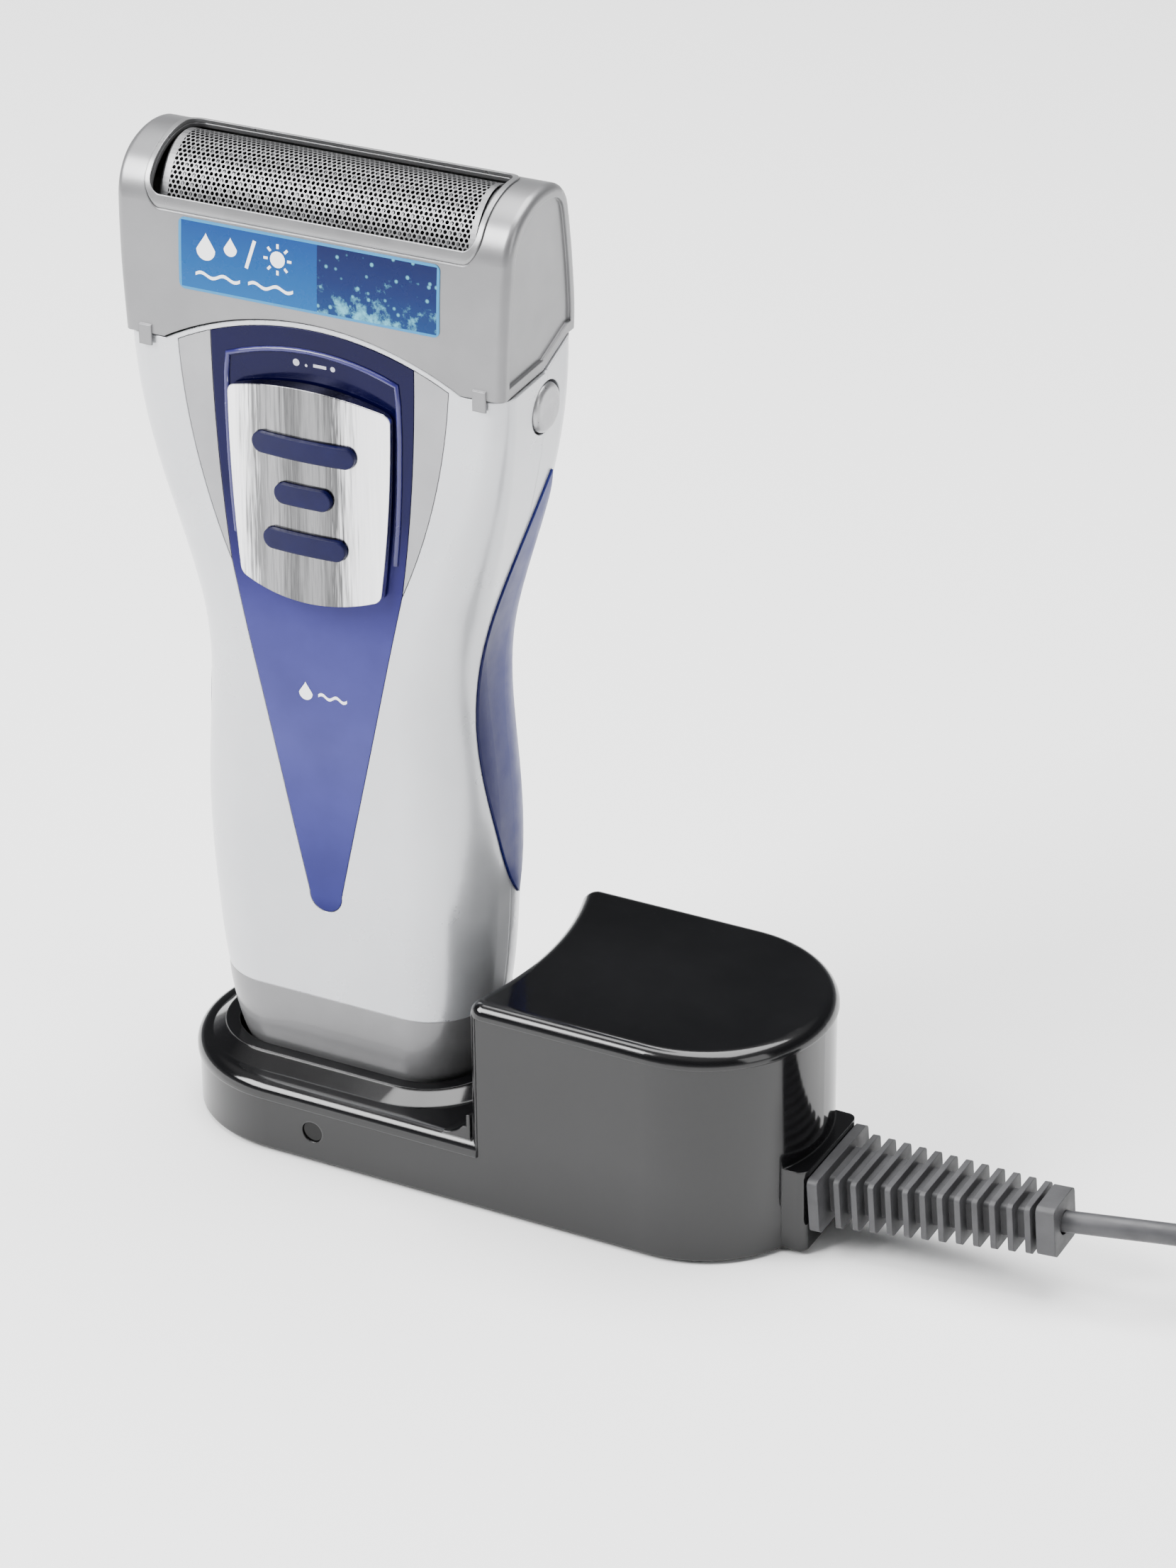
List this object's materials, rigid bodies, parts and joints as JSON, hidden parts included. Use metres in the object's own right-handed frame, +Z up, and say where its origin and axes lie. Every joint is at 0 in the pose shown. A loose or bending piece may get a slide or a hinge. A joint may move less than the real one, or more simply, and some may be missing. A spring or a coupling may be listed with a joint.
{
  "type": "foil shaver",
  "caption": "Wet and dry foil shaver with a lift-off head and a sliding switch, standing in the cup of its mains charging stand, whose block and ribbed cord lie at one side",
  "frame": {"origin": "on the surface the stand rests on, under the middle of the bounding box of shaver and stand without the cord and its strain relief", "axes": "+Z up, along the standing shaver; -Y to the front, where the blue panel and the switch are; +X along the stand, from the cup to the block and the cord"},
  "size_m": [0.3026, 0.0535, 0.1627],
  "materials": {
    "stand_housing": "gloss black moulding",
    "stand_top_cover": "gloss black moulding",
    "stand_base_plate": "matte black moulding",
    "stand_screws": "plain steel",
    "stand_feet": "dark rubber",
    "lamp_lens": "smoked clear plastic",
    "charger_board": "green circuit board",
    "transformer_core": "laminated iron",
    "transformer_winding": "enamelled copper wire",
    "charger_capacitors": "sleeved can",
    "stand_contacts": "plated contact",
    "strain_relief": "dark grey rubber",
    "cord_lead": "dark grey cord",
    "cord_tail": "dark grey cord",
    "cord_coil": "dark grey cord",
    "cord_tie": "black tie",
    "plug_body": "dark grey moulding",
    "plug_pins": "plated brass",
    "front_housing": "pearl silver-white",
    "rear_housing": "pearl silver-white",
    "panel_bezel": "satin silver",
    "front_panel": "deep blue gloss",
    "side_grip_right": "blue soft grip",
    "side_grip_left": "blue soft grip",
    "bottom_cap": "medium grey satin",
    "cap_screws": "plain steel",
    "charge_terminals": "plated contact",
    "cap_seal": "black rubber",
    "inner_chassis": "natural moulding",
    "battery_cells": "sleeved cell",
    "battery_tabs": "nickel strip",
    "control_board": "green circuit board",
    "motor_can": "plated steel",
    "motor_magnets": "ferrite",
    "motor_end_cap": "natural moulding",
    "drive_deck": "dark grey moulding",
    "drive_boot": "black rubber",
    "motor_shaft": "ground steel",
    "motor_armature": "laminated iron",
    "eccentric_cam": "natural moulding",
    "drive_bridge": "natural moulding",
    "drive_post": "dark moulding",
    "release_button_right": "satin silver",
    "release_button_left": "satin silver",
    "switch_slider": "bright plated plastic",
    "switch_ribs": "blue soft ribs",
    "switch_carrier": "dark moulding",
    "foil_frame": "satin silver",
    "foil_rim": "polished rim",
    "head_label": "printed film label",
    "foil_holder": "dark moulding",
    "outer_foil": "perforated foil",
    "blade_carrier": "dark moulding",
    "inner_blades": "ground steel",
    "blade_spring": "spring steel"
  },
  "bodies": {
    "stand": {"stand_housing": "stand_housing", "stand_top_cover": "stand_top_cover", "stand_base_plate": "stand_base_plate", "stand_screws": "stand_screws", "stand_feet": "stand_feet", "lamp_lens": "lamp_lens", "charger_board": "charger_board", "transformer_core": "transformer_core", "transformer_winding": "transformer_winding", "charger_capacitors": "charger_capacitors", "stand_contacts": "stand_contacts", "strain_relief": "strain_relief", "cord_lead": "cord_lead", "cord_tail": "cord_tail", "cord_coil": "cord_coil", "cord_tie": "cord_tie", "plug_body": "plug_body", "plug_pins": "plug_pins"},
    "shaver": {"front_housing": "front_housing", "rear_housing": "rear_housing", "panel_bezel": "panel_bezel", "front_panel": "front_panel", "side_grip_right": "side_grip_right", "side_grip_left": "side_grip_left", "bottom_cap": "bottom_cap", "cap_screws": "cap_screws", "charge_terminals": "charge_terminals", "cap_seal": "cap_seal", "inner_chassis": "inner_chassis", "battery_cells": "battery_cells", "battery_tabs": "battery_tabs", "control_board": "control_board", "motor_can": "motor_can", "motor_magnets": "motor_magnets", "motor_end_cap": "motor_end_cap", "drive_deck": "drive_deck", "drive_boot": "drive_boot"},
    "rotor": {"motor_shaft": "motor_shaft", "motor_armature": "motor_armature", "eccentric_cam": "eccentric_cam"},
    "drive": {"drive_bridge": "drive_bridge", "drive_post": "drive_post"},
    "button_right": {"release_button_right": "release_button_right"},
    "button_left": {"release_button_left": "release_button_left"},
    "switch": {"switch_slider": "switch_slider", "switch_ribs": "switch_ribs", "switch_carrier": "switch_carrier"},
    "head": {"foil_frame": "foil_frame", "foil_rim": "foil_rim", "head_label": "head_label"},
    "foil_unit": {"foil_holder": "foil_holder", "outer_foil": "outer_foil"},
    "blades": {"blade_carrier": "blade_carrier", "inner_blades": "inner_blades", "blade_spring": "blade_spring"}
  },
  "joints": [
    {"name": "shaver_lift", "type": "slide", "parent": "stand", "child": "shaver", "axis": [0, 0, 1], "range_m": [0, 0.05]},
    {"name": "head_lift", "type": "slide", "parent": "shaver", "child": "head", "axis": [0, 0, 1], "range_m": [0, 0.035]},
    {"name": "foil_float", "type": "slide", "parent": "head", "child": "foil_unit", "axis": [0, 0, -1], "range_m": [0, 0.001], "stiffness_N_per_m": 900, "springref_m": -0.001},
    {"name": "blade_float", "type": "slide", "parent": "drive", "child": "blades", "axis": [0, 0, -1], "range_m": [0, 0.001], "deforming": ["blade_spring"]},
    {"name": "blade_stroke", "type": "slide", "parent": "shaver", "child": "drive", "axis": [1, 0, 0], "range_m": [-0.0012, 0.0012]},
    {"name": "motor_spin", "type": "hinge", "parent": "shaver", "child": "rotor", "pos_m": [-0.0239, -0.0006, 0.095], "axis": [0, 0, 1], "continuous": true},
    {"name": "button_right_press", "type": "slide", "parent": "shaver", "child": "button_right", "axis": [-1, 0, 0], "range_m": [0, 0.0012], "stiffness_N_per_m": 1200, "springref_m": -0.001},
    {"name": "button_left_press", "type": "slide", "parent": "shaver", "child": "button_left", "axis": [1, 0, 0], "range_m": [0, 0.0012], "stiffness_N_per_m": 1200, "springref_m": -0.001},
    {"name": "switch_slide", "type": "slide", "parent": "shaver", "child": "switch", "axis": [0, 0.0275, 0.9996], "range_m": [0, 0.006]}
  ],
  "couplings": [
    {"joint": "blade_float", "follows": "foil_float", "ratio": 1}
  ]
}
